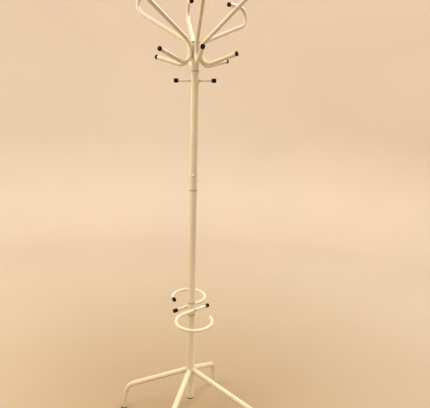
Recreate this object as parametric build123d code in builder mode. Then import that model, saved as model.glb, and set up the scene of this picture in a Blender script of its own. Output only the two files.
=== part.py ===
from build123d import *
from math import cos, radians, sin, tan
import os

# Free-standing tubular coat stand. +Z is up, and the origin is on the floor,
# on the axis of the post. One leg points along each of +X, -X, +Y and -Y.

# ---- post sections, bottom to top ----
POST_RADIUS = 16.0
POST_WALL = 1.5
POST_BORE = POST_RADIUS - POST_WALL
BASE_TUBE_BOTTOM = 138.0
HOLDER_BOTTOM = 518.0
HOLDER_TOP = 570.0
MIDDLE_JOINT_Z = 1047.0
CROWN_JOINT_Z = 1508.0
CROWN_TOP = 1612.0
SEAM_GAP = 0.6
RIM_CHAMFER = 0.5

# ---- tubes inside the joints ----
SPIGOT_RADIUS = POST_BORE - 0.05
SPIGOT_WALL = 1.5
HOLDER_SPIGOT_REACH = 80.0
SLEEVE_BOTTOM = 970.0
SLEEVE_TOP = 1132.0
CROWN_SPIGOT_BOTTOM = 1432.0
CROWN_SPIGOT_TOP = 1572.0

# ---- joint screw ----
SCREW_Z = 1107.0
SCREW_ANGLE = -67.0
SCREW_SHANK_RADIUS = 2.4
SCREW_HOLE_RADIUS = 2.45
SCREW_LENGTH = 9.0
SCREW_HEAD_RADIUS = 5.0
SCREW_HEAD_HEIGHT = 3.2
SCREW_SLOT_WIDTH = 1.1
SCREW_SLOT_DEPTH = 1.6

# ---- legs ----
LEG_RADIUS = 11.0
LEG_WALL = 1.5
LEG_AXIS_Z = 270.0
LEG_SLOPE = 25.7
LEG_KNEE_REACH = 313.0
LEG_KNEE_RADIUS = 75.0
LEG_SPLAY = 8.3
FOOT_HEIGHT = 8.0
FOOT_RADIUS = 12.0
FOOT_STEM = 18.0
LEG_ANGLES = {"right": 0, "back": 90, "left": 180, "front": 270}

# ---- crown arms: one bent tube each, a hat hook above and a coat hook below ----
ARM_RADIUS = 8.0
ARM_WALL = 1.2
ARM_SEAT = POST_RADIUS + ARM_RADIUS - 0.3
ARM_SEAT_BOTTOM = 1574.0
ARM_SEAT_TOP = 1580.0
ARM_LIFT_RADIUS = 55.0
ARM_SHAFT = 206.0
HAT_CURL_RADIUS = 39.0
HAT_CURL_TURN = 158.0
HAT_TIP = 51.0
COAT_BEND_RADIUS = 37.0
COAT_RISE = 17.5
COAT_TIP = 92.5
# name, direction round the post, rise of the upper shaft above level
ARMS = [
    ("right", 0, 42.0),
    ("back_right", 60, 25.0),
    ("back_left", 120, 36.0),
    ("left", 180, 31.0),
    ("front_left", 240, 31.0),
    ("front_right", 300, 44.0),
]

# ---- scarf pegs ----
PEG_Z = 1474.5
PEG_ANGLE = 11.0
PEG_RADIUS = 4.0
PEG_REACH = 78.0

# ---- umbrella holder rods ----
ROD_RADIUS = 6.5
ROD_Z = 545.0
ROD_OFFSET = POST_RADIUS + ROD_RADIUS - 0.2
ROD_DIRECTION = 37.4
ROD_TAIL = 70.0
ROD_LEAD = 57.0
LOOP_RADIUS = 71.5
LOOP_TURN = 252.0
HOLDER_DIP = 4.5
HOLDER_DIP_ANGLE = -68.7

# ---- black end pieces ----
TUBE_CAP_RADIUS = 8.8
TUBE_CAP_HEAD = 10.0
TUBE_CAP_STEM = 16.0
TUBE_CAP_ROUND = 3.5
ROD_CAP_RADIUS = 8.2
ROD_CAP_LENGTH = 17.0
ROD_CAP_DEPTH = 12.0
ROD_CAP_ROUND = 2.5
POST_PLUG_HEAD = 5.0
POST_PLUG_ROUND = 2.0
POST_PLUG_STEM = 20.0
STEM_CLEARANCE = 0.05

os.makedirs("parts", exist_ok=True)


def save(piece, name):
    """Label a finished piece and write its STEP file."""
    piece.part.label = name
    export_step(piece.part, f"parts/{name}.step")


def radial_plane(angle):
    """Upright plane through the post axis: x points outward, y points up."""
    outward = (cos(radians(angle)), sin(radians(angle)), 0)
    sideways = (sin(radians(angle)), -cos(radians(angle)), 0)
    return Plane(origin=(0, 0, 0), x_dir=outward, z_dir=sideways)


def post_tube(bottom, top):
    """Straight length of post tube with lightly broken outer rims."""
    with BuildPart() as tube:
        with BuildSketch(Plane.XY.offset(bottom)):
            Circle(POST_RADIUS)
            Circle(POST_BORE, mode=Mode.SUBTRACT)
        extrude(amount=top - bottom)
        rims = tube.edges().filter_by(GeomType.CIRCLE)
        chamfer(rims.filter_by(lambda rim: rim.radius > POST_BORE + 1), RIM_CHAMFER)
    return tube


def inner_tube(bottom, top):
    """Joining tube that fits inside the post."""
    with BuildPart() as tube:
        with BuildSketch(Plane.XY.offset(bottom)):
            Circle(SPIGOT_RADIUS)
            Circle(SPIGOT_RADIUS - SPIGOT_WALL, mode=Mode.SUBTRACT)
        extrude(amount=top - bottom)
    return tube


def swept_tube(route, radius, wall):
    """Round tube of the given wall along a bent route."""
    with BuildPart() as tube:
        with BuildSketch(route.wire() ^ 0):
            Circle(radius)
            Circle(radius - wall, mode=Mode.SUBTRACT)
        sweep(path=route.wire())
    return tube


def end_plane(route, at_start):
    """Plane on the cut end of a route, facing out of the tube."""
    wire = route.wire()
    if at_start:
        return Plane(origin=wire @ 0, z_dir=(wire % 0) * -1)
    return Plane(origin=wire @ 1, z_dir=wire % 1)


def plug(seat, head_radius, head_length, rounding, stem_radius, stem_length):
    """Push-in plug: a rounded head on the tube's end and a stem inside it."""
    with BuildPart() as piece:
        with BuildSketch(seat):
            Circle(head_radius)
        extrude(amount=head_length)
        crown_face = piece.faces().sort_by(Axis(seat.origin, seat.z_dir))[-1]
        fillet(crown_face.edges(), rounding)
        with BuildSketch(seat):
            Circle(stem_radius)
        extrude(amount=-stem_length)
    return piece


def rod_cap(seat, bore_radius):
    """Push-over cap: a blind sleeve that covers the end of a solid rod."""
    mouth = seat.offset(-ROD_CAP_DEPTH)
    with BuildPart() as piece:
        with BuildSketch(mouth):
            Circle(ROD_CAP_RADIUS)
        extrude(amount=ROD_CAP_LENGTH)
        closed_face = piece.faces().sort_by(Axis(seat.origin, seat.z_dir))[-1]
        fillet(closed_face.edges(), ROD_CAP_ROUND)
        with BuildSketch(mouth):
            Circle(bore_radius + STEM_CLEARANCE)
        extrude(amount=ROD_CAP_DEPTH, mode=Mode.SUBTRACT)
    return piece


# ---------------------------------------------------------------- the post
screw_plane = Plane(
    origin=(
        POST_RADIUS * cos(radians(SCREW_ANGLE)),
        POST_RADIUS * sin(radians(SCREW_ANGLE)),
        SCREW_Z,
    ),
    z_dir=(cos(radians(SCREW_ANGLE)), sin(radians(SCREW_ANGLE)), 0),
)

save(post_tube(BASE_TUBE_BOTTOM, HOLDER_BOTTOM), "base_post_tube")
save(post_tube(HOLDER_TOP, MIDDLE_JOINT_Z - SEAM_GAP), "middle_post_tube")

with BuildPart() as upper_tube:
    add(post_tube(MIDDLE_JOINT_Z, CROWN_JOINT_Z).part)
    with BuildSketch(screw_plane):
        Circle(SCREW_HOLE_RADIUS)
    extrude(amount=-POST_RADIUS / 2, mode=Mode.SUBTRACT)
save(upper_tube, "upper_post_tube")

with BuildPart() as sleeve:
    add(inner_tube(SLEEVE_BOTTOM, SLEEVE_TOP).part)
    with BuildSketch(screw_plane):
        Circle(SCREW_HOLE_RADIUS)
    extrude(amount=-POST_RADIUS / 2, mode=Mode.SUBTRACT)
save(sleeve, "middle_joint_sleeve")

save(
    inner_tube(HOLDER_BOTTOM - HOLDER_SPIGOT_REACH, HOLDER_TOP + HOLDER_SPIGOT_REACH),
    "holder_joint_spigot",
)

with BuildPart() as screw:
    with BuildSketch(screw_plane):
        Circle(SCREW_HEAD_RADIUS)
    extrude(amount=SCREW_HEAD_HEIGHT)
    outer_face = screw.faces().sort_by(Axis(screw_plane.origin, screw_plane.z_dir))[-1]
    fillet(outer_face.edges(), SCREW_HEAD_HEIGHT * 0.75)
    with BuildSketch(screw_plane):
        Circle(SCREW_SHANK_RADIUS)
    extrude(amount=-SCREW_LENGTH)
    with BuildSketch(screw_plane.offset(SCREW_HEAD_HEIGHT)):
        Rectangle(SCREW_HEAD_RADIUS, SCREW_SLOT_WIDTH)
        Rectangle(SCREW_SLOT_WIDTH, SCREW_HEAD_RADIUS)
    extrude(amount=-SCREW_SLOT_DEPTH, mode=Mode.SUBTRACT)
save(screw, "middle_joint_screw")

bottom_seat = Plane(origin=(0, 0, BASE_TUBE_BOTTOM), z_dir=(0, 0, -1))
save(
    plug(
        bottom_seat,
        POST_RADIUS,
        POST_PLUG_HEAD,
        POST_PLUG_ROUND,
        POST_BORE - STEM_CLEARANCE,
        POST_PLUG_STEM,
    ),
    "post_bottom_plug",
)

# ---------------------------------------------------------------- the legs
knee_z = LEG_AXIS_Z - LEG_KNEE_REACH * tan(radians(LEG_SLOPE))
foot_reach = LEG_KNEE_REACH + (knee_z - FOOT_HEIGHT) * tan(radians(LEG_SPLAY))
root_reach = POST_RADIUS / 2
root_z = LEG_AXIS_Z - root_reach * tan(radians(LEG_SLOPE))

for side, angle in LEG_ANGLES.items():
    with BuildLine(radial_plane(angle)) as leg_route:
        FilletPolyline(
            (root_reach, root_z),
            (LEG_KNEE_REACH, knee_z),
            (foot_reach, FOOT_HEIGHT),
            radius=LEG_KNEE_RADIUS,
        )
    with BuildPart() as leg:
        add(swept_tube(leg_route, LEG_RADIUS, LEG_WALL).part)
        # the upper end is cut to the round of the post that it is welded to
        with BuildSketch(Plane.XY.offset(LEG_AXIS_Z - 3 * LEG_RADIUS)):
            Circle(POST_RADIUS)
        extrude(amount=6 * LEG_RADIUS, mode=Mode.SUBTRACT)
    save(leg, f"leg_{side}")

    foot_seat = end_plane(leg_route, at_start=False)
    with BuildPart() as foot:
        with BuildSketch(foot_seat):
            Circle(FOOT_RADIUS)
        extrude(amount=FOOT_HEIGHT + LEG_RADIUS)
        split(bisect_by=Plane.XY, keep=Keep.TOP)
        with BuildSketch(foot_seat):
            Circle(LEG_RADIUS - LEG_WALL - STEM_CLEARANCE)
        extrude(amount=-FOOT_STEM)
    save(foot, f"foot_{side}")

# ---------------------------------------------------------------- the scarf pegs
for side, turn in (("right", 0), ("left", 180)):
    heading = radians(PEG_ANGLE + turn)
    peg_direction = (cos(heading), sin(heading), 0)
    peg_root = Plane(origin=(0, 0, PEG_Z), z_dir=peg_direction)
    with BuildPart() as peg:
        with BuildSketch(peg_root.offset(POST_RADIUS / 2)):
            Circle(PEG_RADIUS)
        extrude(amount=PEG_REACH - POST_RADIUS / 2)
        with BuildSketch(Plane.XY.offset(PEG_Z - 2 * PEG_RADIUS)):
            Circle(POST_RADIUS)
        extrude(amount=4 * PEG_RADIUS, mode=Mode.SUBTRACT)
    save(peg, f"scarf_peg_{side}")
    save(rod_cap(peg_root.offset(PEG_REACH), PEG_RADIUS), f"scarf_peg_cap_{side}")

# ---------------------------------------------------------------- umbrella holder
save(post_tube(HOLDER_BOTTOM + SEAM_GAP, HOLDER_TOP - SEAM_GAP), "umbrella_ring")

# the rods lie in a plane that dips a little towards the front
dip = radians(HOLDER_DIP)
dip_heading = radians(HOLDER_DIP_ANGLE)
holder_plane = Plane(
    origin=(0, 0, ROD_Z),
    x_dir=(-sin(dip_heading), cos(dip_heading), 0),
    z_dir=(sin(dip) * cos(dip_heading), sin(dip) * sin(dip_heading), cos(dip)),
)

for side, turn in (("back", 0), ("front", 180)):
    with BuildLine(holder_plane.rotated((0, 0, ROD_DIRECTION + turn))) as rod_route:
        straight = Line((-ROD_TAIL, ROD_OFFSET), (ROD_LEAD, ROD_OFFSET))
        loop = JernArc(straight @ 1, straight % 1, LOOP_RADIUS, LOOP_TURN)
        Line(loop @ 1, loop @ 1 + (loop % 1) * ROD_CAP_DEPTH)
    with BuildPart() as rod:
        with BuildSketch(rod_route.wire() ^ 0):
            Circle(ROD_RADIUS)
        sweep(path=rod_route.wire())
        # flattened where it is welded to the ring
        with BuildSketch(Plane.XY.offset(HOLDER_BOTTOM)):
            Circle(POST_RADIUS)
        extrude(amount=HOLDER_TOP - HOLDER_BOTTOM, mode=Mode.SUBTRACT)
    save(rod, f"umbrella_rod_{side}")
    save(rod_cap(end_plane(rod_route, at_start=True), ROD_RADIUS), f"umbrella_tail_cap_{side}")
    if side == "back":
        save(rod_cap(end_plane(rod_route, at_start=False), ROD_RADIUS), "umbrella_loop_cap_back")

# ---------------------------------------------------------------- the crown
save(post_tube(CROWN_JOINT_Z + SEAM_GAP, CROWN_TOP), "crown_tube")
save(inner_tube(CROWN_SPIGOT_BOTTOM, CROWN_SPIGOT_TOP), "crown_spigot")

top_seat = Plane(origin=(0, 0, CROWN_TOP), z_dir=(0, 0, 1))
save(
    plug(
        top_seat,
        POST_RADIUS,
        POST_PLUG_HEAD,
        POST_PLUG_ROUND,
        POST_BORE - STEM_CLEARANCE,
        POST_PLUG_STEM,
    ),
    "crown_top_plug",
)

for side, angle, rise in ARMS:
    with BuildLine(radial_plane(angle)) as arm_route:
        seat_line = Line((ARM_SEAT, ARM_SEAT_BOTTOM), (ARM_SEAT, ARM_SEAT_TOP))
        lift = JernArc(seat_line @ 1, seat_line % 1, ARM_LIFT_RADIUS, rise - 90)
        shaft = Line(lift @ 1, lift @ 1 + (lift % 1) * ARM_SHAFT)
        curl = JernArc(shaft @ 1, shaft % 1, HAT_CURL_RADIUS, HAT_CURL_TURN)
        Line(curl @ 1, curl @ 1 + (curl % 1) * HAT_TIP)
        coat_bend = JernArc(seat_line @ 0, (seat_line % 0) * -1, COAT_BEND_RADIUS, 90 + COAT_RISE)
        Line(coat_bend @ 1, coat_bend @ 1 + (coat_bend % 1) * COAT_TIP)
    with BuildPart() as arm:
        add(swept_tube(arm_route, ARM_RADIUS, ARM_WALL).part)
        # flattened where it is welded to the crown tube
        with BuildSketch(Plane.XY.offset(CROWN_JOINT_Z)):
            Circle(POST_RADIUS)
        extrude(amount=CROWN_TOP - CROWN_JOINT_Z, mode=Mode.SUBTRACT)
    save(arm, f"arm_{side}")

    for at_start in (True, False):
        tip = end_plane(arm_route, at_start)
        hook = "hat" if tip.origin.Z > CROWN_TOP else "coat"
        cap = plug(
            tip,
            TUBE_CAP_RADIUS,
            TUBE_CAP_HEAD,
            TUBE_CAP_ROUND,
            ARM_RADIUS - ARM_WALL - STEM_CLEARANCE,
            TUBE_CAP_STEM,
        )
        save(cap, f"{hook}_hook_cap_{side}")
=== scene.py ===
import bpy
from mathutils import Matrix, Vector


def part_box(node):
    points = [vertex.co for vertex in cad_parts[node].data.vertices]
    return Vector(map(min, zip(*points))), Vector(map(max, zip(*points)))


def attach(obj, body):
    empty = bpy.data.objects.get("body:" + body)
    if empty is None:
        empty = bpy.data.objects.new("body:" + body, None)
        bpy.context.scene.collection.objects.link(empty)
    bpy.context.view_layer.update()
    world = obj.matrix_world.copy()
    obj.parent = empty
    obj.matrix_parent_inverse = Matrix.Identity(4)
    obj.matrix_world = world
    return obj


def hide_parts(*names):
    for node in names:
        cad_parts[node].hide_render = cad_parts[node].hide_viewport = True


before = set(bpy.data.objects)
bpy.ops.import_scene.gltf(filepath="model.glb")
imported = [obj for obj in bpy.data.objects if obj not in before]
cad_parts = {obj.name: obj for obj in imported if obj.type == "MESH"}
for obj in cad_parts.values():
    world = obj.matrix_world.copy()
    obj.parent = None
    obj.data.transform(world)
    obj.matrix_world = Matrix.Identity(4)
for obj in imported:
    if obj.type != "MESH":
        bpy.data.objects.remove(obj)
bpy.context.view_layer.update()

from math import cos, pi, radians, sin, tan

import bpy
import numpy as np
from mathutils import Matrix, Vector

# A painted steel-tube coat stand. Lengths are metres, +Z is up, the floor is z = 0 and the post stands
# on the origin. The pieces below are drawn finely over the frame's tubes, in the same places.

TAU = 2 * pi
MM = 0.001

# ---------------------------------------------------------------- sizes read from the frame


def low(node, axis=2):
    """Where a frame piece begins along an axis."""
    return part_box(node)[0][axis]


def high(node, axis=2):
    """Where a frame piece ends along an axis."""
    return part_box(node)[1][axis]


POST_R = high("upper_post_tube", 0)
POST_WALL = 1.5 * MM
RIM_ROUND = 0.5 * MM
CROWN_TOP = high("crown_tube")
ARM_R, ARM_WALL = high("arm_right", 1), 1.2 * MM
LEG_R, LEG_WALL = high("leg_right", 1), 1.5 * MM

# bends and runs of the tubes, as the frame's tubes have them
ARM_SEAT = POST_R + ARM_R - 0.3 * MM
ARM_SEAT_LOW, ARM_SEAT_HIGH = 1.574, 1.580
ARM_LIFT = 0.055
ARM_SHAFT = 0.206
HAT_CURL, HAT_CURL_TURN, HAT_TIP = 0.039, 158, 0.051
COAT_BEND, COAT_RISE, COAT_TIP = 0.037, 17.5, 0.0925
ARMS = {
    "right": (0, 42),
    "back_right": (60, 25),
    "back_left": (120, 36),
    "left": (180, 31),
    "front_left": (240, 31),
    "front_right": (300, 44),
}
LEG_AXIS_Z, LEG_SLOPE, LEG_KNEE, LEG_KNEE_BEND, LEG_SPLAY = 0.270, 25.7, 0.313, 0.075, 8.3
LEGS = {"right": 0, "back": 90, "left": 180, "front": 270}
FOOT_R, FOOT_HEIGHT = 0.012, 0.008
ROD_R = 6.5 * MM
ROD_OFFSET = POST_R + ROD_R - 0.2 * MM
ROD_HEADING, ROD_TAIL, ROD_LEAD = 37.4, 0.070, 0.057
LOOP_R, LOOP_TURN, LOOP_TIP = 0.0715, 252, 0.012
HOLDER_Z, HOLDER_DIP, HOLDER_DIP_HEADING = 0.545, 4.5, -68.7
PEG_Z, PEG_HEADING, PEG_R, PEG_REACH = 1.4745, 11, 4 * MM, 0.078
SCREW_Z, SCREW_HEADING, SCREW_R, SCREW_HEIGHT = 1.107, -67, 5 * MM, 3.2 * MM
SLOT_HALF_WIDTH, SLOT_REACH, SLOT_DEPTH = 0.42 * MM, 2.5 * MM, 1.5 * MM
SHANK_R, SHANK, SHANK_TURNS = 2.3 * MM, 8.6 * MM, 11
CAP_R, CAP_HEAD, CAP_ROUNDING, CAP_STEM = 8.8 * MM, 10 * MM, 3.5 * MM, 16 * MM
ROD_CAP_R, ROD_CAP_LENGTH, ROD_CAP_DEPTH, ROD_CAP_ROUNDING = 8.2 * MM, 17 * MM, 12 * MM, 2.5 * MM
PLUG_HEAD, PLUG_STEM = 5 * MM, 20 * MM

# points round a tube or a turned piece
POST_COLUMNS, LEG_COLUMNS, ARM_COLUMNS, ROD_COLUMNS, TURNED_COLUMNS = 96, 48, 44, 40, 56

# ---------------------------------------------------------------- meshes from grids


UPWARD = np.array([0.0, 0.0, 1.0])


def level_way(angle):
    """Level direction at an angle from the x axis."""
    t = radians(angle)
    return np.array([cos(t), sin(t), 0.0])


def unit(v):
    """v made one unit long, row by row."""
    v = np.asarray(v, float)
    return v / np.linalg.norm(v, axis=-1, keepdims=True)


def ease(x):
    """Smooth step from 0 to 1: 3x^2 - 2x^3 with x held between 0 and 1."""
    x = np.clip(x, 0, 1)
    return x * x * (3 - 2 * x)


def bump_at(x, centre, width):
    """A soft hump: 1 at the centre, falling as exp(-((x - centre) / width)^2)."""
    return np.exp(-(((x - centre) / width) ** 2))


def skin(
    name, grid, material, body,
    stands_for=(), loop=False, poles=(False, False), wear=None, grime=None,
):
    """Make a piece from a grid of points (rows along, columns around).

    Quads join row i to i + 1 and column j to j + 1. The columns wrap round, and with loop the rows do
    too. A pole closes an end with triangles to the middle of its row. Faces are turned so that the sum
    of a . (b x c) over them, which is six times the volume inside, comes out positive. wear and grime
    are stored point by point.
    """
    rows, columns = grid.shape[:2]
    points = grid.reshape(-1, 3)
    extra = [grid[0].mean(0)] * poles[0] + [grid[-1].mean(0)] * poles[1]
    if extra:
        points = np.vstack([points, extra])
    last = rows if loop else rows - 1
    i, j = np.meshgrid(np.arange(last), np.arange(columns), indexing="ij")
    i2, j2 = (i + 1) % rows, (j + 1) % columns
    quads = np.stack([i * columns + j, i * columns + j2, i2 * columns + j2, i2 * columns + j], -1)
    quads = quads.reshape(-1, 4)
    j, pole = np.arange(columns), rows * columns
    fans = []
    if poles[0]:
        fans.append(np.stack([(j + 1) % columns, j, np.full(columns, pole)], -1))
        pole += 1
    if poles[1]:
        start = (rows - 1) * columns
        fans.append(np.stack([start + j, start + (j + 1) % columns, np.full(columns, pole)], -1))
    fans = np.vstack(fans) if fans else np.zeros((0, 3), int)
    triangles = np.vstack([quads[:, [0, 1, 2]], quads[:, [0, 2, 3]], fans])
    a, b, c = (points[triangles[:, k]] - points.mean(0) for k in range(3))
    if np.einsum("ij,ij->", a, np.cross(b, c)) < 0:
        quads, fans = quads[:, ::-1], fans[:, ::-1]
    corners = np.concatenate([quads.ravel(), fans.ravel()]).astype(np.int32)
    sizes = np.concatenate([np.full(len(quads), 4), np.full(len(fans), 3)]).astype(np.int32)
    mesh = bpy.data.meshes.new(name)
    mesh.vertices.add(len(points))
    mesh.vertices.foreach_set("co", points.astype(np.float32).ravel())
    mesh.loops.add(len(corners))
    mesh.loops.foreach_set("vertex_index", corners)
    mesh.polygons.add(len(sizes))
    starts = np.concatenate([[0], np.cumsum(sizes)[:-1]]).astype(np.int32)
    mesh.polygons.foreach_set("loop_start", starts)
    mesh.polygons.foreach_set("use_smooth", np.ones(len(sizes), bool))
    mesh.update(calc_edges=True)
    mesh.validate()
    for label, values in (("wear", wear), ("grime", grime)):
        stored = np.zeros(len(points), np.float32)
        if values is not None:
            stored[: rows * columns] = np.broadcast_to(values, (rows, columns)).ravel()
            if poles[0]:
                stored[rows * columns] = stored[0]
            if poles[1]:
                stored[-1] = stored[rows * columns - 1]
        mesh.attributes.new(label, "FLOAT", "POINT").data.foreach_set("value", stored)
    mesh.materials.append(material)
    piece = bpy.data.objects.new(name, mesh)
    bpy.context.scene.collection.objects.link(piece)
    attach(piece, body)
    if stands_for:
        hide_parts(*stands_for)
    return piece


def around(columns):
    """Angles of one turn, evenly spread, with no repeat."""
    return np.linspace(0, TAU, columns, endpoint=False)


def turned(profile, origin, axis, columns=64):
    """Surface of revolution.

    Each profile point (r, h) goes to origin + h * axis + r * (cos a * e1 + sin a * e2).
    """
    axis = unit(axis)
    helper = np.array([0.0, 0.0, 1.0]) if abs(axis[2]) < 0.9 else np.array([1.0, 0.0, 0.0])
    e1 = unit(np.cross(helper, axis))
    e2 = np.cross(axis, e1)
    a = around(columns)
    ring = np.cos(a)[:, None] * e1 + np.sin(a)[:, None] * e2
    r, h = np.asarray(profile, float).T
    return np.asarray(origin) + h[:, None, None] * axis + r[:, None, None] * ring


def corner(centre, radius, first, last, count=6):
    """Profile points on a round corner: centre + radius * (cos t, sin t), first to last angle."""
    t = np.radians(np.linspace(first, last, count))
    return np.stack([centre[0] + radius * np.cos(t), centre[1] + radius * np.sin(t)], -1)


def walk(start, heading, moves, step=2.5 * MM):
    """Planar route from runs and bends: its points, headings, distances and bend strengths.

    A run goes straight. A bend of radius R turns by a and moves by R * (sin a, 1 - cos a) in its own
    heading, and its strength is the root of a sine along it.
    """
    spot, turn = np.array(start, float), radians(heading)
    xy, headings, bends = [spot[None]], [np.array([turn])], [np.zeros(1)]
    for kind, *sizes in moves:
        if kind == "run":
            count = max(2, int(sizes[0] / step))
            s = np.linspace(0, sizes[0], count + 1)[1:]
            here = spot + s[:, None] * np.array([cos(turn), sin(turn)])
            h, b = np.full(count, turn), np.zeros(count)
        else:
            radius, total = sizes[0], radians(sizes[1])
            count = max(8, int(radius * abs(total) / step))
            a = np.linspace(0, total, count + 1)[1:]
            side = np.sign(total)
            ahead, across = radius * np.sin(np.abs(a)), side * radius * (1 - np.cos(a))
            forward, left = np.array([cos(turn), sin(turn)]), np.array([-sin(turn), cos(turn)])
            here = spot + ahead[:, None] * forward + across[:, None] * left
            h, b = turn + a, np.sin(np.linspace(0, pi, count + 1)[1:]) ** 0.5
        xy.append(here)
        headings.append(h)
        bends.append(b)
        spot, turn = here[-1], h[-1]
    xy = np.vstack(xy)
    distance = np.concatenate([[0], np.cumsum(np.linalg.norm(np.diff(xy, axis=0), axis=1))])
    return xy, np.concatenate(headings), distance, np.concatenate(bends)


def lift(xy, headings, origin, x_axis, y_axis):
    """Put a planar route into space: its points, its tangents, and the plane's normal."""
    x_axis, y_axis = np.asarray(x_axis, float), np.asarray(y_axis, float)
    points = np.asarray(origin, float) + xy[:, :1] * x_axis + xy[:, 1:] * y_axis
    tangents = np.cos(headings)[:, None] * x_axis + np.sin(headings)[:, None] * y_axis
    return points, tangents, np.cross(x_axis, y_axis)


def pipe(points, tangents, normal, radius, bends=0.0, columns=ROD_COLUMNS):
    """Circle carried along a planar route, pressed a little oval where it bends.

    Each ring is point + radius * (in * cos a * side + out * sin a * normal), side square to the route.
    """
    side = np.cross(normal, tangents)
    a = around(columns)
    pressed = np.broadcast_to(bends, len(points))[:, None, None]
    across = (1 - 0.035 * pressed) * np.cos(a)[None, :, None] * side[:, None]
    outward = (1 + 0.02 * pressed) * np.sin(a)[None, :, None] * normal
    return points[:, None] + radius * (across + outward)


def bore(points, tangents, normal, radius, every, columns):
    """The rings of a tube's bore, at every few points of its route and at the last one."""
    picks = np.append(np.arange(0, len(points) - 1, every), len(points) - 1)
    return pipe(points[picks], tangents[picks], normal, radius, 0.0, columns)


def cope(ring, tangent, surface_r=POST_R):
    """Slide a ring along its tube until every point lies on the post's round surface.

    For each point p the distance s solves |p + s t| = surface radius in plan, taking the outer root.
    """
    p, t = ring[:, :2], tangent[:2]
    a, b, c = t @ t, p @ t, (p * p).sum(-1) - surface_r**2
    s = (-b + np.sqrt(np.maximum(b * b - a * c, 0))) / a
    return ring + s[:, None] * tangent


def coped(grid, tangent, rows=5):
    """The grid with a few rows before it, spread evenly from the post's surface to its first ring."""
    root = cope(grid[0], tangent)
    t = np.linspace(0, 1, rows, endpoint=False)[:, None, None]
    return np.concatenate([root * (1 - t) + grid[0] * t, grid])


def hollow(outer, inner):
    """One closed wall: along the outside, over the end, back up the bore and over the first end."""
    return np.concatenate([outer, inner[::-1]])


def bead(path, radius, columns=14, ripple=0.12, pitch=3.2 * MM, closed=True):
    """Weld bead: a thick line whose radius swells once every pitch, radius * (1 + ripple * |sin|).

    Open beads also taper to their ends as the root of a sine.
    """
    step = np.roll(path, -1, 0) - np.roll(path, 1, 0) if closed else np.gradient(path, axis=0)
    tangent = unit(step)
    middle = path.mean(0)
    e1 = unit(np.cross(tangent, unit(path - middle) + 1e-6))
    e2 = np.cross(tangent, e1)
    length = np.linalg.norm(np.diff(path, axis=0), axis=1).sum()
    s = np.linspace(0, 1, len(path))
    waves = round(length / pitch)
    size = radius * (1 + ripple * np.abs(np.sin(pi * waves * s)))
    if not closed:
        size = size * np.sqrt(np.clip(np.sin(pi * s), 0.02, 1))
    a = around(columns)
    ring = np.cos(a)[None, :, None] * e1[:, None] + np.sin(a)[None, :, None] * e2[:, None]
    return path[:, None] + size[:, None, None] * ring


# ---------------------------------------------------------------- node tools


def put(tree, kind, inputs=None, **options):
    """Add a node; each named input is either joined to a socket or set to a value."""
    made = tree.nodes.new("ShaderNode" + kind)
    for key, value in options.items():
        setattr(made, key, value)
    for key, value in (inputs or {}).items():
        if isinstance(value, bpy.types.NodeSocket):
            tree.links.new(value, made.inputs[key])
        else:
            made.inputs[key].default_value = value
    return made


def spread(tree, value, low_in, high_in, low_out=0.0, high_out=1.0, kind="SMOOTHSTEP"):
    """Map a value from one range to another, held at both ends."""
    ranges = {
        "Value": value,
        "From Min": low_in,
        "From Max": high_in,
        "To Min": low_out,
        "To Max": high_out,
    }
    return put(tree, "MapRange", ranges, interpolation_type=kind).outputs["Result"]


def maths(tree, operation, first, second=0.0):
    """One sum on two values."""
    return put(tree, "Math", {0: first, 1: second}, operation=operation).outputs[0]


def blend(tree, mask, first, second, kind="MIX"):
    """Mix two colours by a mask."""
    made = put(tree, "Mix", data_type="RGBA", blend_type=kind)
    for key, value in ((0, mask), (6, first), (7, second)):
        if isinstance(value, bpy.types.NodeSocket):
            tree.links.new(value, made.inputs[key])
        else:
            made.inputs[key].default_value = value
    return made.outputs[2]


def group(name, takes, gives):
    """A new shader node group: its tree, what it is given, and where it puts its results."""
    tree = bpy.data.node_groups.new(name, "ShaderNodeTree")
    kinds = {"colour": "NodeSocketColor", "value": "NodeSocketFloat", "vector": "NodeSocketVector"}
    for label, kind, value in takes:
        socket = tree.interface.new_socket(name=label, in_out="INPUT", socket_type=kinds[kind])
        if value is not None:
            socket.default_value = value
    for label, kind in gives:
        tree.interface.new_socket(name=label, in_out="OUTPUT", socket_type=kinds[kind])
    given = tree.nodes.new("NodeGroupInput").outputs
    return tree, given, tree.nodes.new("NodeGroupOutput").inputs


def place(tree, grouped, inputs):
    """Put a group into a material with its own values; returns its outputs."""
    made = tree.nodes.new("ShaderNodeGroup")
    made.node_tree = grouped
    for key, value in inputs.items():
        if isinstance(value, bpy.types.NodeSocket):
            tree.links.new(value, made.inputs[key])
        else:
            made.inputs[key].default_value = value
    return made.outputs


def noise(tree, where, scale, detail=3.0, roughness=0.5):
    """Smooth noise from 0 to 1."""
    sizes = {"Vector": where, "Scale": scale, "Detail": detail, "Roughness": roughness}
    return put(tree, "TexNoise", sizes).outputs["Fac"]


# ---------------------------------------------------------------- shared effects


def make_uneven_coat():
    """Broad tone drift and the fine ripple of a sprayed or moulded skin.

    Tone mixes the two colours by a slow noise; Ripple is a fast noise for bump.
    """
    takes = [
        ("Where", "vector", None),
        ("Colour", "colour", (0.8, 0.8, 0.8, 1)),
        ("Second colour", "colour", (0.6, 0.6, 0.6, 1)),
        ("Patch scale", "value", 9.0),
        ("Ripple scale", "value", 420.0),
    ]
    gives = [("Colour", "colour"), ("Patches", "value"), ("Ripple", "value")]
    tree, given, out = group("uneven coat", takes, gives)
    slow = noise(tree, given["Where"], given["Patch scale"], 4.0, 0.6)
    patches = spread(tree, slow, 0.35, 0.68)
    mixed = blend(tree, patches, given["Colour"], given["Second colour"])
    tree.links.new(mixed, out["Colour"])
    tree.links.new(patches, out["Patches"])
    tree.links.new(noise(tree, given["Where"], given["Ripple scale"], 2.0, 0.55), out["Ripple"])
    return tree


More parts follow.
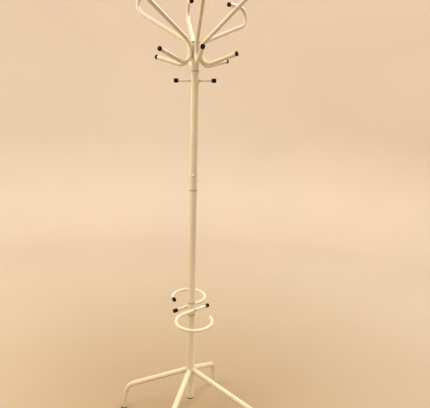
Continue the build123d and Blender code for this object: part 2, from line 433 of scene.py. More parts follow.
def make_edge_wear():
    """Rubbed edges: the stored wear, broken up by a noise, cut to a soft-edged mask."""
    takes = [
        ("Where", "vector", None),
        ("Wear", "value", 0.0),
        ("Amount", "value", 0.5),
        ("Breakup scale", "value", 260.0),
    ]
    tree, given, out = group("edge wear", takes, [("Mask", "value")])
    coarse = noise(tree, given["Where"], given["Breakup scale"], 5.0, 0.65)
    rough = maths(tree, "MULTIPLY", given["Wear"], spread(tree, coarse, 0.38, 0.62))
    level = maths(tree, "MULTIPLY", rough, given["Amount"])
    tree.links.new(spread(tree, level, 0.25, 0.42), out["Mask"])
    return tree


def make_scuffs():
    """Hairline handling marks: thin cell borders of a bent pattern, kept where a slow noise is high."""
    takes = [
        ("Where", "vector", None),
        ("Scale", "value", 55.0),
        ("Width", "value", 0.012),
        ("Amount", "value", 0.5),
    ]
    tree, given, out = group("scuffs", takes, [("Mask", "value")])
    bend = put(tree, "TexNoise", {"Vector": given["Where"], "Scale": 30.0}).outputs["Color"]
    shifted = put(tree, "VectorMath", {0: bend, "Scale": 0.05}, operation="SCALE").outputs[0]
    moved = put(tree, "VectorMath", {0: given["Where"], 1: shifted}, operation="ADD").outputs[0]
    sizes = {"Vector": moved, "Scale": given["Scale"]}
    cells = put(tree, "TexVoronoi", sizes, feature="DISTANCE_TO_EDGE")
    line = spread(tree, cells.outputs["Distance"], 0.0, given["Width"], 1.0, 0.0)
    where = spread(tree, noise(tree, given["Where"], 24.0, 3.0), 0.52, 0.66)
    kept = maths(tree, "MULTIPLY", line, where)
    tree.links.new(maths(tree, "MULTIPLY", kept, given["Amount"]), out["Mask"])
    return tree


def make_settled_dirt():
    """Dust on faces that look up and dark grime in the stored crevices, both broken up by noise."""
    takes = [
        ("Where", "vector", None),
        ("Colour", "colour", (0.8, 0.8, 0.8, 1)),
        ("Dust colour", "colour", (0.42, 0.37, 0.3, 1)),
        ("Grime colour", "colour", (0.06, 0.04, 0.025, 1)),
        ("Upward", "value", 0.0),
        ("Crevice", "value", 0.0),
        ("Dust", "value", 0.3),
        ("Grime", "value", 0.7),
    ]
    tree, given, out = group("settled dirt", takes, [("Colour", "colour"), ("Mask", "value")])
    lying = spread(tree, given["Upward"], 0.35, 1.0)
    flecks = spread(tree, noise(tree, given["Where"], 130.0, 6.0, 0.7), 0.3, 0.75)
    flecked = maths(tree, "MULTIPLY", lying, flecks)
    dust = maths(tree, "MULTIPLY", flecked, given["Dust"])
    smear = spread(tree, noise(tree, given["Where"], 170.0, 4.0, 0.6), 0.1, 0.62)
    smeared = maths(tree, "MULTIPLY", given["Crevice"], smear)
    grime = maths(tree, "MULTIPLY", smeared, given["Grime"])
    dusty = blend(tree, dust, given["Colour"], given["Dust colour"])
    tree.links.new(blend(tree, grime, dusty, given["Grime colour"]), out["Colour"])
    tree.links.new(maths(tree, "MAXIMUM", dust, grime), out["Mask"])
    return tree


UNEVEN_COAT = make_uneven_coat()
EDGE_WEAR = make_edge_wear()
SCUFFS = make_scuffs()
SETTLED_DIRT = make_settled_dirt()

# ---------------------------------------------------------------- finishes


def start_finish(name):
    """A new material: itself, its nodes, its shader, the piece's own coordinates, how far the surface
    looks up, and the stored wear and grime.
    """
    material = bpy.data.materials.new(name)
    material.use_nodes = True
    tree = material.node_tree
    tree.nodes.clear()
    shader = tree.nodes.new("ShaderNodeBsdfPrincipled")
    end = tree.nodes.new("ShaderNodeOutputMaterial")
    tree.links.new(shader.outputs[0], end.inputs["Surface"])
    where = tree.nodes.new("ShaderNodeTexCoord").outputs["Object"]
    normal = tree.nodes.new("ShaderNodeNewGeometry").outputs["Normal"]
    upward = put(tree, "SeparateXYZ", {0: normal}).outputs["Z"]
    wear = put(tree, "Attribute", attribute_name="wear").outputs["Fac"]
    grime = put(tree, "Attribute", attribute_name="grime").outputs["Fac"]
    return material, tree, shader, where, upward, wear, grime


def bumped(tree, shader, height, distance, strength=1.0, under=None):
    """Join a height to the shader's normal through a bump node, on top of another bump if given."""
    inputs = {"Height": height, "Distance": distance, "Strength": strength}
    if under is not None:
        inputs["Normal"] = under
    made = put(tree, "Bump", inputs).outputs["Normal"]
    tree.links.new(made, shader.inputs["Normal"])
    return made


def cream_enamel():
    """Baked cream enamel on steel: slow tone drift, sprayed ripple, hairline scuffs, chips and dirt."""
    material, tree, shader, where, upward, wear, grime = start_finish("cream enamel")
    coat = place(tree, UNEVEN_COAT, {
        "Where": where,
        "Colour": (0.73, 0.655, 0.52, 1),
        "Second colour": (0.69, 0.61, 0.465, 1),
        "Patch scale": 11.0,
        "Ripple scale": 520.0,
    })
    scuffs = place(tree, SCUFFS, {
        "Where": where,
        "Scale": 48.0,
        "Width": 0.014,
        "Amount": 0.25,
    })["Mask"]
    scuffed = blend(tree, scuffs, coat["Colour"], (0.45, 0.37, 0.25, 1))
    chips = place(tree, EDGE_WEAR, {
        "Where": where,
        "Wear": wear,
        "Amount": 0.62,
        "Breakup scale": 330.0,
    })["Mask"]
    chipped = blend(tree, chips, scuffed, (0.30, 0.27, 0.23, 1))
    dirt = place(tree, SETTLED_DIRT, {
        "Where": where,
        "Colour": chipped,
        "Upward": upward,
        "Crevice": grime,
        "Dust": 0.16,
        "Grime": 0.85,
    })
    tree.links.new(dirt["Colour"], shader.inputs["Base Color"])
    glossy = spread(tree, coat["Patches"], 0.0, 1.0, 0.27, 0.36, "LINEAR")
    rough = maths(tree, "ADD", glossy, maths(tree, "MULTIPLY", dirt["Mask"], 0.4))
    rough = maths(tree, "ADD", rough, maths(tree, "MULTIPLY", scuffs, 0.25))
    tree.links.new(rough, shader.inputs["Roughness"])
    tree.links.new(maths(tree, "MULTIPLY", chips, 0.8), shader.inputs["Metallic"])
    ripple = bumped(tree, shader, coat["Ripple"], 0.04 * MM)
    bumped(tree, shader, maths(tree, "SUBTRACT", 1.0, chips), 0.12 * MM, under=ripple)
    shader.inputs["Specular IOR Level"].default_value = 0.5
    return material


def black_plastic():
    """Moulded black plastic: fine sparkle texture, rubbed rims, pale scuffs and dust."""
    material, tree, shader, where, upward, wear, grime = start_finish("black plastic")
    coat = place(tree, UNEVEN_COAT, {
        "Where": where,
        "Colour": (0.0022, 0.0018, 0.0016, 1),
        "Second colour": (0.0045, 0.0038, 0.0034, 1),
        "Patch scale": 60.0,
        "Ripple scale": 1500.0,
    })
    scuffs = place(tree, SCUFFS, {
        "Where": where,
        "Scale": 190.0,
        "Width": 0.03,
        "Amount": 0.4,
    })["Mask"]
    scuffed = blend(tree, scuffs, coat["Colour"], (0.05, 0.043, 0.037, 1))
    rubbed = place(tree, EDGE_WEAR, {
        "Where": where,
        "Wear": wear,
        "Amount": 0.7,
        "Breakup scale": 500.0,
    })["Mask"]
    worn = blend(tree, rubbed, scuffed, (0.035, 0.03, 0.026, 1))
    dirt = place(tree, SETTLED_DIRT, {
        "Where": where,
        "Colour": worn,
        "Upward": upward,
        "Crevice": grime,
        "Dust": 0.02,
        "Grime": 0.3,
    })
    tree.links.new(dirt["Colour"], shader.inputs["Base Color"])
    rough = spread(tree, coat["Patches"], 0.0, 1.0, 0.34, 0.46, "LINEAR")
    rough = maths(tree, "ADD", rough, maths(tree, "MULTIPLY", dirt["Mask"], 0.3))
    tree.links.new(rough, shader.inputs["Roughness"])
    bumped(tree, shader, coat["Ripple"], 0.05 * MM)
    shader.inputs["Specular IOR Level"].default_value = 0.09
    return material


def black_rubber():
    """Matt black rubber feet: mealy skin, scuffed bottom edge, floor dust."""
    material, tree, shader, where, upward, wear, grime = start_finish("black rubber")
    coat = place(tree, UNEVEN_COAT, {
        "Where": where,
        "Colour": (0.018, 0.017, 0.016, 1),
        "Second colour": (0.032, 0.030, 0.027, 1),
        "Patch scale": 90.0,
        "Ripple scale": 900.0,
    })
    scuffed = place(tree, EDGE_WEAR, {
        "Where": where,
        "Wear": wear,
        "Amount": 0.8,
        "Breakup scale": 300.0,
    })["Mask"]
    worn = blend(tree, scuffed, coat["Colour"], (0.13, 0.115, 0.095, 1))
    dirt = place(tree, SETTLED_DIRT, {
        "Where": where,
        "Colour": worn,
        "Grime colour": (0.20, 0.17, 0.13, 1),
        "Upward": upward,
        "Crevice": grime,
        "Dust": 0.45,
        "Grime": 0.6,
    })
    tree.links.new(dirt["Colour"], shader.inputs["Base Color"])
    rough = spread(tree, coat["Patches"], 0.0, 1.0, 0.62, 0.8, "LINEAR")
    rough = maths(tree, "ADD", rough, maths(tree, "MULTIPLY", dirt["Mask"], 0.15))
    tree.links.new(rough, shader.inputs["Roughness"])
    bumped(tree, shader, coat["Ripple"], 0.12 * MM)
    return material


def plated_steel(name, bright, dull, gloss, patch):
    """Bare or plated steel: cloudy tone, fine grain, rubbed edges and grime in the hollows."""
    material, tree, shader, where, upward, wear, grime = start_finish(name)
    coat = place(tree, UNEVEN_COAT, {
        "Where": where,
        "Colour": bright,
        "Second colour": dull,
        "Patch scale": patch,
        "Ripple scale": 1100.0,
    })
    rubbed = place(tree, EDGE_WEAR, {
        "Where": where,
        "Wear": wear,
        "Amount": 0.6,
        "Breakup scale": 700.0,
    })["Mask"]
    polished = blend(tree, rubbed, coat["Colour"], (0.75, 0.72, 0.66, 1))
    dirt = place(tree, SETTLED_DIRT, {
        "Where": where,
        "Colour": polished,
        "Upward": upward,
        "Crevice": grime,
        "Dust": 0.08,
        "Grime": 0.75,
    })
    tree.links.new(dirt["Colour"], shader.inputs["Base Color"])
    metal = spread(tree, dirt["Mask"], 0.0, 1.0, 1.0, 0.1, "LINEAR")
    tree.links.new(metal, shader.inputs["Metallic"])
    rough = spread(tree, coat["Patches"], 0.0, 1.0, gloss, gloss + 0.14, "LINEAR")
    rough = maths(tree, "ADD", rough, maths(tree, "MULTIPLY", dirt["Mask"], 0.4))
    tree.links.new(rough, shader.inputs["Roughness"])
    bumped(tree, shader, coat["Ripple"], 0.02 * MM)
    return material


CREAM = cream_enamel()
BLACK = black_plastic()
RUBBER = black_rubber()
SCREW_STEEL = plated_steel(
    "zinc plated screw",
    bright=(0.78, 0.75, 0.68, 1),
    dull=(0.58, 0.54, 0.46, 1),
    gloss=0.2,
    patch=400.0,
)
TUBE_STEEL = plated_steel(
    "bare drawn tube",
    bright=(0.46, 0.44, 0.41, 1),
    dull=(0.30, 0.27, 0.24, 1),
    gloss=0.34,
    patch=40.0,
)

# the three inner joint tubes keep the frame's own shapes
for joint_tube in ("holder_joint_spigot", "middle_joint_sleeve", "crown_spigot"):
    for finish_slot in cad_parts[joint_tube].material_slots:
        finish_slot.material = TUBE_STEEL

# ---------------------------------------------------------------- the post


def end_spacing(length, count=26, first=0.35 * MM):
    """Distances along a tube, close together at both ends and wide in the middle."""
    half = np.concatenate([[0.0], np.geomspace(first, length / 2, count)])
    return np.concatenate([half, length - half[-2::-1]])


def post_section(name, body, seams):
    """A length of post: its wall's section, with rounded rims, turned about the post's axis.

    seams says which ends (low, high) meet another length: dirt gathers and paint chips there.
    """
    bottom, top = low(name), high(name)
    inner_r = POST_R - POST_WALL
    run = bottom + RIM_ROUND + end_spacing(top - bottom - 2 * RIM_ROUND)
    side = np.stack([np.full(len(run), POST_R), run], -1)
    inner = np.stack([np.full(9, inner_r), np.linspace(top, bottom, 9)], -1)
    low_rim = corner((POST_R - RIM_ROUND, bottom + RIM_ROUND), RIM_ROUND, -90, 0)[:-1]
    high_rim = corner((POST_R - RIM_ROUND, top - RIM_ROUND), RIM_ROUND, 0, 90)[1:]
    section = np.vstack([low_rim, side, high_rim, inner])
    h = section[:, 1]
    to_seam = np.minimum(np.where(seams[0], h - bottom, 1.0), np.where(seams[1], top - h, 1.0))
    grime = 0.92 * np.exp(-to_seam / (1.0 * MM)) + 0.15 * np.exp(-to_seam / (7 * MM))
    wear = bump_at(np.minimum(h - bottom, top - h), 0.3 * MM, 0.7 * MM)
    grid = turned(section, (0, 0, 0), (0, 0, 1), POST_COLUMNS)
    skin(
        name, grid, CREAM, body, [name],
        loop=True, wear=wear[:, None], grime=grime[:, None],
    )


post_section("base_post_tube", "stand", (False, True))
post_section("umbrella_ring", "umbrella_holder", (True, True))
post_section("middle_post_tube", "stand", (True, True))
post_section("upper_post_tube", "stand", (True, True))
post_section("crown_tube", "crown", (True, False))


def push_in_plug(name, seat, outward, head_r, head, rounding, stem_r, stem, body):
    """Turned plug: domed face, round shoulder, side with a moulding line, ribbed and tapered stem."""
    dome = 0.35 * MM
    face = np.linspace(0.12, 1, 7)[:, None] * [head_r - rounding, 0]
    face[:, 1] = head + dome * (np.cos(face[:, 0] / head_r * pi / 2) - 1)
    shoulder = corner((head_r - rounding, face[-1, 1] - rounding), rounding, 90, 0, 9)[1:]
    side_top, side_low = shoulder[-1, 1], 0.45 * MM
    side = np.linspace(side_top, side_low, 14)[1:]
    line = 0.12 * MM * bump_at(side, head * 0.32, 0.25 * MM)
    side = np.stack([head_r - 0.12 * MM + line, side], -1)
    lip = np.array([[head_r - 0.5 * MM, 0.0], [stem_r, 0.0]])
    t = np.linspace(0, 1, 26)[1:]
    ribs = 0.25 * MM * np.abs(np.sin(4 * pi * t)) * (1 - t)
    shaft = np.stack([stem_r - 0.25 * MM + ribs - 0.6 * MM * t, -stem * t], -1)
    profile = np.vstack([face, shoulder, side, lip, shaft])
    r, h = profile.T
    wear = bump_at(h, head - rounding * 0.35, rounding * 0.5) * (r > head_r * 0.6)
    grime = bump_at(h, 0.0, 0.7 * MM) * 0.8
    grid = turned(profile, seat, outward, TURNED_COLUMNS)
    skin(
        name, grid, BLACK, body, [name],
        poles=(True, True), wear=wear[:, None], grime=grime[:, None],
    )


POST_PLUG = dict(
    head_r=POST_R,
    head=PLUG_HEAD,
    rounding=2 * MM,
    stem_r=POST_R - POST_WALL,
    stem=PLUG_STEM,
)
POST_BOTTOM = low("base_post_tube")
push_in_plug("post_bottom_plug", (0, 0, POST_BOTTOM), (0, 0, -1), body="stand", **POST_PLUG)
push_in_plug("crown_top_plug", (0, 0, CROWN_TOP), (0, 0, 1), body="crown", **POST_PLUG)


def pan_screw():
    """Pan head as a polar height field: a dome less a cross recess whose depth fades at its edges.

    Height is dome(r) less the depth times a soft mask, which is 1 where min(|x|, |y|) is inside the
    slot's half width and max(|x|, |y|) is inside its reach. The rows go on down the rim and the shank,
    which has a rolled thread of small rings.
    """
    outward = level_way(SCREW_HEADING)
    rows = 44
    r = SCREW_R * np.sqrt(np.linspace(0.01, 1, rows))
    a = around(128)
    x, y = r[:, None] * np.cos(a + 0.35), r[:, None] * np.sin(a + 0.35)
    dome = SCREW_HEIGHT * np.sqrt(np.clip(1 - (r / (SCREW_R * 1.02)) ** 2.6, 0, 1))
    narrow = np.minimum(np.abs(x), np.abs(y))
    reach = np.maximum(np.abs(x), np.abs(y))
    inside = 1 - ease((narrow - SLOT_HALF_WIDTH) / (0.18 * MM))
    slot = inside * (1 - ease((reach - SLOT_REACH) / (0.35 * MM)))
    height = dome[:, None] - SLOT_DEPTH * slot
    centre = SCREW_Z * UPWARD + POST_R * outward
    radial = np.cos(a)[:, None] * np.cross(UPWARD, outward) + np.sin(a)[:, None] * UPWARD
    head = centre + r[:, None, None] * radial + height[..., None] * outward
    h = np.concatenate([[0.12 * MM, 0, 0], -np.linspace(0.2 * MM, SHANK, rows)])
    thread = SHANK_R + 0.1 * MM * np.sin(TAU * np.linspace(0, 1, rows) * SHANK_TURNS)
    shank = np.concatenate([[SCREW_R, SCREW_R - 0.1 * MM, SHANK_R], thread])
    lower = centre + shank[:, None, None] * radial + h[:, None, None] * outward
    grid = np.concatenate([head, lower])
    wear = np.zeros(grid.shape[:2])
    grime = np.zeros(grid.shape[:2])
    grime[: len(r)] = slot
    grime[len(r) - 1 : len(r) + 3] = 0.8
    wear[: len(r)] = bump_at(r, SCREW_R * 0.8, 0.8 * MM)[:, None] * (1 - slot)
    name = "middle_joint_screw"
    skin(
        name, grid, SCREW_STEEL, "stand", [name],
        poles=(True, True), wear=wear, grime=grime,
    )


pan_screw()

# ---------------------------------------------------------------- welds


def weld(name, path, radius, body, closed=True):
    """A painted weld bead, dirty at its toes."""
    grid = bead(path, radius, closed=closed)
    grime = 0.04 + 0.07 * np.abs(np.sin(np.linspace(0, 9 * pi, len(grid))))
    skin(
        name, grid, CREAM, body,
        loop=closed, poles=(not closed,) * 2, grime=grime[:, None],
    )


# ---------------------------------------------------------------- the legs


def leg_path():
    """From near the post down a straight slope, round the knee, and down to the foot."""
    turn = 90 - LEG_SLOPE - LEG_SPLAY
    setback = LEG_KNEE_BEND * tan(radians(turn / 2))
    knee_z = LEG_AXIS_Z - LEG_KNEE * tan(radians(LEG_SLOPE))
    start_x = POST_R + LEG_R
    slope_run = (LEG_KNEE - start_x) / cos(radians(LEG_SLOPE)) - setback
    drop_run = (knee_z - FOOT_HEIGHT) / cos(radians(LEG_SPLAY)) - setback
    start = (start_x, LEG_AXIS_Z - start_x * tan(radians(LEG_SLOPE)))
    moves = [("run", slope_run), ("bend", LEG_KNEE_BEND, -turn), ("run", drop_run)]
    return walk(start, -LEG_SLOPE, moves)


def leg(side, angle):
    """Bent leg tube: outer and bore circles carried along the path, both cut to the post's round."""
    xy, headings, distance, bends = leg_path()
    points, tangents, normal = lift(xy, headings, (0, 0, 0), level_way(angle), UPWARD)
    outer = pipe(points, tangents, normal, LEG_R, bends, LEG_COLUMNS)
    inner = bore(points, tangents, normal, LEG_R - LEG_WALL, 6, LEG_COLUMNS)
    grid = hollow(coped(outer, tangents[0]), coped(inner, tangents[0], 2))
    s = np.concatenate([np.zeros(5), distance])
    grime = np.zeros(len(grid))
    grime[: len(s)] = 0.12 * np.exp(-s / (5 * MM)) + 0.6 * np.exp(-(s[-1] - s) / (2 * MM))
    wear = np.zeros(len(grid))
    wear[: len(s)] = 0.75 * bump_at(s, s[-1], 3 * MM)
    name = f"leg_{side}"
    skin(
        name, grid, CREAM, "stand", [name],
        loop=True, wear=wear[:, None], grime=grime[:, None],
    )

    root = pipe(points[:1], tangents[:1], normal, LEG_R + 0.4 * MM, 0.0, 150)
    weld(f"weld_leg_{side}", cope(root[0], tangents[0], POST_R + 0.3 * MM), 2.0 * MM, "stand")
    rubber_foot(side, points[-1], tangents[-1], normal)


def rubber_foot(side, seat, along, normal):
    """Rubber plug under a leg: a collar turned about it, the lower rings slid along it to lie level.

    A ring of radius r is seat + r * (cos a * across + sin a * normal); where a height z is asked for,
    each point moves along the leg by (z - its height) / (downward share of the leg's direction).
    """
    across = np.cross(normal, along)
    a = around(TURNED_COLUMNS)
    circle = np.cos(a)[:, None] * across + np.sin(a)[:, None] * normal
    stem_r, stem, taper = LEG_R - LEG_WALL - 0.1 * MM, 18 * MM, 0.7 * MM
    rise = np.linspace(1, 0, 16)[:, None, None]
    plug = seat - stem * rise * along + (stem_r - taper * rise) * circle
    inset, drop = np.array([[0.9, 0.25, 0.0], [0.0, 0.25, 0.9]])[..., None, None] * MM
    shoulder = seat + drop * along + (FOOT_R - inset) * circle
    # radius as a share of the foot's, and height in mm: a grooved side, and a sole with a ring in it
    side_rings = [(1, 4.6), (1, 3.4), (0.985, 3.0), (0.985, 2.6), (1, 2.2), (1, 1.1), (0.975, 0.35)]
    sole_rings = [(0.92, 0.0), (0.7, 0.0), (0.67, 0.6), (0.5, 0.6), (0.47, 0.0), (0.15, 0.0)]
    share, height = np.array(side_rings + sole_rings).T[:, :, None, None]
    rings = seat + FOOT_R * share * circle
    level = rings + (height * MM - rings[..., 2:]) / along[2] * along
    grid = np.concatenate([plug, shoulder, level])
    grid[..., 2] = np.maximum(grid[..., 2], 0)
    name = f"foot_{side}"
    wear = bump_at(grid[..., 2], 1.0 * MM, 1.6 * MM)
    grime = bump_at(grid[..., 2], 2.8 * MM, 0.5 * MM) + bump_at(grid[..., 2], 0.0, 0.6 * MM)
    skin(
        name, grid, RUBBER, "stand", [name],
        poles=(True, True), wear=wear, grime=grime,
    )


for leg_side, leg_angle in LEGS.items():
    leg(leg_side, leg_angle)

# ---------------------------------------------------------------- push-over caps, pegs and rods


def push_over_cap(name, end, outward, rod_r, body):
    """Blind sleeve: domed end, round shoulder, tapered side with a grip line, rolled mouth and bore."""
    tip, mouth, outer = ROD_CAP_LENGTH - ROD_CAP_DEPTH, -ROD_CAP_DEPTH, ROD_CAP_R
    flat_r = outer - ROD_CAP_ROUNDING
    face = np.linspace(0.12, 1, 7)[:, None] * [flat_r, 0]
    face[:, 1] = tip - 0.25 * MM * (face[:, 0] / outer) ** 2
    shoulder = corner((flat_r, face[-1, 1] - ROD_CAP_ROUNDING), ROD_CAP_ROUNDING, 90, 0, 9)[1:]
    h = np.linspace(shoulder[-1, 1], mouth + 0.6 * MM, 22)[1:]
    groove = 0.16 * MM * bump_at(h, mouth + 3.2 * MM, 0.35 * MM)
    side = np.stack([outer - 0.25 * MM * (h - mouth) / ROD_CAP_LENGTH - groove, h], -1)
    lip = corner((outer - 0.6 * MM, mouth + 0.6 * MM), 0.6 * MM, 0, -90, 5)[1:]
    loose = rod_r + 0.05 * MM
    inside = [[rod_r + 0.5 * MM, mouth], [loose, mouth + 0.5 * MM], [loose, 0.0], [rod_r * 0.3, 0.0]]
    profile = np.vstack([face, shoulder, side, lip, inside])
    r, h = profile.T
    wear = bump_at(h, tip - 1.0 * MM, 1.2 * MM) * (r > outer * 0.6) + 0.6 * bump_at(h, mouth, 0.8 * MM)
    grime = 0.7 * bump_at(h, mouth + 3.2 * MM, 0.5 * MM)
    grid = turned(profile, end, outward, TURNED_COLUMNS)
    skin(
        name, grid, BLACK, body, [name],
        poles=(True, True), wear=wear[:, None], grime=grime[:, None],
    )


def scarf_peg(side, angle):
    """Straight round peg: its root cut to the post's round, its end a flat face with a broken edge."""
    outward = level_way(angle)
    base = PEG_Z * UPWARD
    s = np.linspace(POST_R + PEG_R, PEG_REACH - 0.4 * MM, 30)
    points = base + s[:, None] * outward
    tangents = np.broadcast_to(outward, points.shape)
    grid = pipe(points, tangents, UPWARD, PEG_R, 0.0, 32)
    tip = base + PEG_REACH * outward
    last = tip + (grid[-1] - grid[-1].mean(0)) * 0.9
    grid = np.concatenate([coped(grid, outward), last[None]])
    grime = 0.7 * np.exp(-(np.concatenate([np.full(5, s[0]), s, [s[-1]]]) - s[0]) / (3 * MM))
    name = f"scarf_peg_{side}"
    skin(
        name, grid, CREAM, "stand", [name],
        poles=(True, True), grime=grime[:, None],
    )
    root = pipe(points[:1], tangents[:1], UPWARD, PEG_R + 0.3 * MM, 0.0, 96)
    weld(f"weld_peg_{side}", cope(root[0], outward, POST_R + 0.2 * MM), 1.3 * MM, "stand")
    push_over_cap(f"scarf_peg_cap_{side}", tip, outward, PEG_R, "stand")


scarf_peg("right", PEG_HEADING)
scarf_peg("left", PEG_HEADING + 180)


def holder_axes():
    """The rods' plane: its x axis is level, and its normal dips towards one side."""
    dip, towards = radians(HOLDER_DIP), radians(HOLDER_DIP_HEADING)
    level = np.array([-sin(towards), cos(towards), 0.0])
    normal = np.array([sin(dip) * cos(towards), sin(dip) * sin(towards), cos(dip)])
    return level, np.cross(normal, level), normal


def umbrella_rod(side, turn, bare_end):
    """Round rod: a straight tail past the ring, then most of a circle, lying in the rods' plane."""
    level, across, normal = holder_axes()
    t = radians(ROD_HEADING + turn)
    x_axis, y_axis = cos(t) * level + sin(t) * across, -sin(t) * level + cos(t) * across
    moves = [("run", ROD_TAIL + ROD_LEAD), ("bend", LOOP_R, LOOP_TURN), ("run", LOOP_TIP)]
    xy, headings, distance, _ = walk((-ROD_TAIL, ROD_OFFSET), 0, moves, 2 * MM)
    centre = HOLDER_Z * UPWARD
    points, tangents, _ = lift(xy, headings, centre, x_axis, y_axis)
    grid = pipe(points, tangents, normal, ROD_R)
    edge = 0.8 * MM
    ends = []
    for ring, along in ((grid[0], -tangents[0]), (grid[-1], tangents[-1])):
        middle = ring.mean(0)
        a = np.linspace(0, pi / 2, 5)[1:, None, None]
        scale = 1 - edge / ROD_R * (1 - np.cos(a))
        ends.append(middle + (ring - middle) * scale + edge * np.sin(a) * along - edge * along)
    grid = np.concatenate([ends[0][::-1], grid[1:-1], ends[1]])
    s = np.concatenate([np.zeros(4), distance[1:-1], np.full(4, distance[-1])])
    at_ring = np.abs(s - ROD_TAIL)
    grime = 0.5 * bump_at(at_ring, 0, 9 * MM) + 0.3 * bump_at(s, ROD_CAP_DEPTH, 2 * MM)
    wear = 0.42 * bump_at(s, distance[-1] * 0.62, 0.06)
    if bare_end:
        wear += bump_at(s, distance[-1], 3 * MM)
    name = f"umbrella_rod_{side}"
    skin(
        name, grid, CREAM, "umbrella_holder", [name],
        poles=(True, True), wear=wear[:, None], grime=grime[:, None],
    )
    push_over_cap(f"umbrella_tail_cap_{side}", points[0], -tangents[0], ROD_R, "umbrella_holder")
    if not bare_end:
        push_over_cap(f"umbrella_loop_cap_{side}", points[-1], tangents[-1], ROD_R, "umbrella_holder")
    # two beads on the round of the ring, just inside the rod's upper and lower edges
    u = np.linspace(-8.5 * MM, 8.5 * MM, 60)
    depth = np.sqrt((POST_R + 0.3 * MM) ** 2 - u**2)
    for edge_name, offset in (("upper", ROD_R - 0.7 * MM), ("lower", 0.7 * MM - ROD_R)):
        path = centre + u[:, None] * x_axis + depth[:, None] * y_axis + offset * normal
        weld(f"weld_rod_{side}_{edge_name}", path, 1.5 * MM, "umbrella_holder", closed=False)


umbrella_rod("back", 0, False)
umbrella_rod("front", 180, True)

# ---------------------------------------------------------------- the crown arms


def arm_path(rise):
    """From the coat hook's tip in to the post, up its side, out along the shaft, round the hat hook."""
    seat = (ARM_SEAT, ARM_SEAT_LOW)
    up = walk(seat, 90, [
        ("run", ARM_SEAT_HIGH - ARM_SEAT_LOW),
        ("bend", ARM_LIFT, rise - 90),
        ("run", ARM_SHAFT),
        ("bend", HAT_CURL, HAT_CURL_TURN),
        ("run", HAT_TIP),
    ])
    down = walk(seat, -90, [("bend", COAT_BEND, 90 + COAT_RISE), ("run", COAT_TIP)])
    xy = np.vstack([down[0][::-1], up[0][1:]])
    headings = np.concatenate([down[1][::-1] + pi, up[1][1:]])
    distance = np.concatenate([down[2][-1] - down[2][::-1], down[2][-1] + up[2][1:]])
    bends = np.concatenate([down[3][::-1], up[3][1:]])
    return xy, headings, distance, bends, down[2][-1]


def crown_arm(side, angle, rise):
    """Bent arm tube with its two end plugs and the pair of welds that hold it to the crown."""
    outward = level_way(angle)
    xy, headings, distance, bends, at_seat = arm_path(rise)
    points, tangents, normal = lift(xy, headings, (0, 0, 0), outward, UPWARD)
    outer = pipe(points, tangents, normal, ARM_R, bends, ARM_COLUMNS)
    inner = bore(points, tangents, normal, ARM_R - ARM_WALL, 5, ARM_COLUMNS)
    grid = hollow(outer, inner)
    s, end = distance, distance[-1]
    grime, wear = np.zeros(len(grid)), np.zeros(len(grid))
    edge = np.minimum(s, end - s)
    grime[: len(s)] = 0.55 * np.exp(-edge / (1.6 * MM)) + 0.16 * bump_at(s, at_seat, 16 * MM)
    wear[: len(s)] = 0.6 * bump_at(edge, 0, 2.5 * MM) + 0.40 * bump_at(s, 0.05, 0.03)
    name = f"arm_{side}"
    skin(
        name, grid, CREAM, "crown", [name],
        loop=True, wear=wear[:, None], grime=grime[:, None],
    )

    stem_r = ARM_R - ARM_WALL - 0.05 * MM
    for hook, seat, along in (("coat", points[0], -tangents[0]), ("hat", points[-1], tangents[-1])):
        push_in_plug(
            f"{hook}_hook_cap_{side}", seat, along,
            CAP_R, CAP_HEAD, CAP_ROUNDING, stem_r, CAP_STEM, "crown",
        )

    # each bead runs where a circle round the post and one round the arm cross, a little proud of both
    proud = 0.9 * MM
    a, b = POST_R + proud, ARM_R + proud
    z = np.linspace(ARM_SEAT_LOW - 13 * MM, ARM_SEAT_HIGH + 15 * MM, 80)
    below, above = np.minimum(z - ARM_SEAT_LOW, 0), np.maximum(z - ARM_SEAT_HIGH, 0)
    away = COAT_BEND - np.sqrt(COAT_BEND**2 - below**2) + ARM_LIFT - np.sqrt(ARM_LIFT**2 - above**2)
    reach = ARM_SEAT + 0.9 * away
    x = (a**2 - b**2 + reach**2) / (2 * reach)
    y = np.sqrt(np.maximum(a**2 - x**2, (1.2 * MM) ** 2))
    for hand, sign in (("a", 1), ("b", -1)):
        path = x[:, None] * outward + sign * y[:, None] * normal + z[:, None] * UPWARD
        weld(f"weld_arm_{side}_{hand}", path, 1.6 * MM, "crown", closed=False)


for arm_side, (arm_angle, arm_rise) in ARMS.items():
    crown_arm(arm_side, arm_angle, arm_rise)

# ---------------------------------------------------------------- floor, light and camera

FLOOR_R, COVE_R, WALL_TOP = 3.4, 1.3, 4.2
SHADED_SIDE = (0.36, -0.93, 0.0)
FLOOR_COLOUR, WALL_COLOUR = (0.36, 0.275, 0.18, 1), (0.78, 0.73, 0.635, 1)
AIR_COLOUR, AIR_STRENGTH = (1.0, 0.78, 0.66, 1), 1.5
POST_MIDDLE, FLOOR_MIDDLE = (0, 0, 1.0), (0, 0, 0)


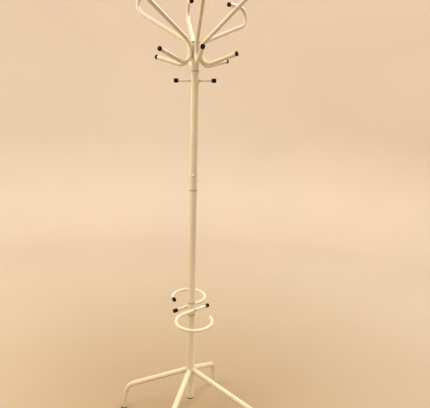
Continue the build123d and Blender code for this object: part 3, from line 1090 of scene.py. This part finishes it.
def studio_paint(floor_colour, wall_colour):
    """Matt studio paint: one colour on the floor, easing into a lighter one up the cove.

    The wall towards SHADED_SIDE eases into a middle tone, so that little light comes back from it.
    """
    material = bpy.data.materials.new("studio paint")
    material.use_nodes = True
    tree = material.node_tree
    shader = tree.nodes["Principled BSDF"]
    where = tree.nodes.new("ShaderNodeTexCoord").outputs["Object"]
    flat = put(tree, "VectorMath", {0: where, 1: (1.0, 1.0, 0.0)}, operation="MULTIPLY").outputs[0]
    reach = put(tree, "VectorMath", {0: flat}, operation="LENGTH").outputs["Value"]
    colour = blend(tree, spread(tree, reach, 0.2, 4.4, kind="LINEAR"), floor_colour, wall_colour)
    sides = {0: where, 1: SHADED_SIDE}
    towards = put(tree, "VectorMath", sides, operation="DOT_PRODUCT").outputs["Value"]
    drift = spread(tree, noise(tree, where, 0.9, 2.0), 0.3, 0.7, 1.0, 0.97)
    drift = maths(tree, "MULTIPLY", drift, spread(tree, towards, 0.4, 2.6, 1.0, 0.45))
    shade = put(tree, "CombineXYZ", {0: drift, 1: drift, 2: drift}).outputs[0]
    tree.links.new(blend(tree, 1.0, colour, shade, "MULTIPLY"), shader.inputs["Base Color"])
    shader.inputs["Roughness"].default_value = 0.9
    shader.inputs["Specular IOR Level"].default_value = 0.1
    return material


def studio():
    """A round floor that turns up into a wall all round, as one turned sheet with a closed middle."""
    cove = corner((FLOOR_R, COVE_R), COVE_R, -90, 0, 24)
    flat = np.stack([np.linspace(0.3, FLOOR_R, 12), np.zeros(12)], -1)
    section = np.vstack([[[0.02, 0.0]], flat, cove[1:], [[FLOOR_R + COVE_R, WALL_TOP]]])
    grid = turned(section, (0, 0, 0), (0, 0, 1), 128)
    points = grid.reshape(-1, 3)
    n, m = grid.shape[:2]
    i, j = np.meshgrid(np.arange(n - 1), np.arange(m), indexing="ij")
    j2 = (j + 1) % m
    faces = np.stack([i * m + j, (i + 1) * m + j, (i + 1) * m + j2, i * m + j2], -1).reshape(-1, 4)
    mesh = bpy.data.meshes.new("studio floor")
    middle = [(k, (k + 1) % m, len(points)) for k in range(m)]
    mesh.from_pydata(points.tolist() + [(0.0, 0.0, 0.0)], [], faces.tolist() + middle)
    mesh.polygons.foreach_set("use_smooth", np.ones(len(mesh.polygons), bool))
    mesh.materials.append(studio_paint(FLOOR_COLOUR, WALL_COLOUR))
    sheet = bpy.data.objects.new("studio_floor", mesh)
    bpy.context.scene.collection.objects.link(sheet)


def lamp(name, spot, aim, size, watts, colour, cone=180):
    """Square soft light at a spot, facing its aim, with its light held inside a cone."""
    light = bpy.data.lights.new(name, "AREA")
    light.shape, light.size, light.energy, light.color = "SQUARE", size, watts, colour
    light.spread = radians(cone)
    holder = bpy.data.objects.new(name, light)
    holder.location = spot
    holder.rotation_mode = "QUATERNION"
    holder.rotation_quaternion = (Vector(aim) - Vector(spot)).to_track_quat("-Z", "Y")
    bpy.context.scene.collection.objects.link(holder)


def camera():
    """Camera at a standing viewer's chest, 1.65 m from the post, looking a little down."""
    side, pitch, yaw, roll = radians(21.3), radians(9.10), radians(3.10), radians(1.42)
    distance, height = 1.6479, 1.25635
    forward = Vector((sin(yaw) * cos(pitch), cos(yaw) * cos(pitch), -sin(pitch)))
    right = Vector((cos(yaw), -sin(yaw), 0))
    up = right.cross(forward)
    right, up = cos(roll) * right + sin(roll) * up, -sin(roll) * right + cos(roll) * up
    turn = Matrix.Rotation(side, 3, "Z")
    lens = bpy.data.cameras.new("camera")
    lens.sensor_width, lens.lens = 36.0, 34.39
    view = bpy.data.objects.new("camera", lens)
    view.rotation_mode = "QUATERNION"
    axes = Matrix((turn @ right, turn @ up, -(turn @ forward))).transposed()
    view.rotation_quaternion = axes.to_quaternion()
    view.location = turn @ Vector((0, -distance, height))
    bpy.context.scene.collection.objects.link(view)
    bpy.context.scene.camera = view


studio()
lamp("ceiling panel", (1.1, 1.3, 3.2), POST_MIDDLE, size=1.1, watts=50, colour=(0.90, 1.0, 0.93))
lamp("side window", (-2.6, -0.5, 2.0), POST_MIDDLE, size=1.1, watts=21, colour=(1.0, 0.97, 0.72))
lamp("room lamp", (-1.2, -1.8, 3.0), POST_MIDDLE, size=1.1, watts=43, colour=(1.0, 0.92, 0.66))
lamp("low bounce", (2.4, -0.9, 0.9), FLOOR_MIDDLE, 1.0, watts=1.4, colour=(1.0, 0.93, 0.80), cone=44)
world = bpy.data.worlds.new("studio air")
bpy.context.scene.world = world
world.use_nodes = True
air = world.node_tree.nodes["Background"].inputs
air["Color"].default_value = AIR_COLOUR
air["Strength"].default_value = AIR_STRENGTH
bpy.context.scene.view_settings.view_transform = "Standard"
camera()
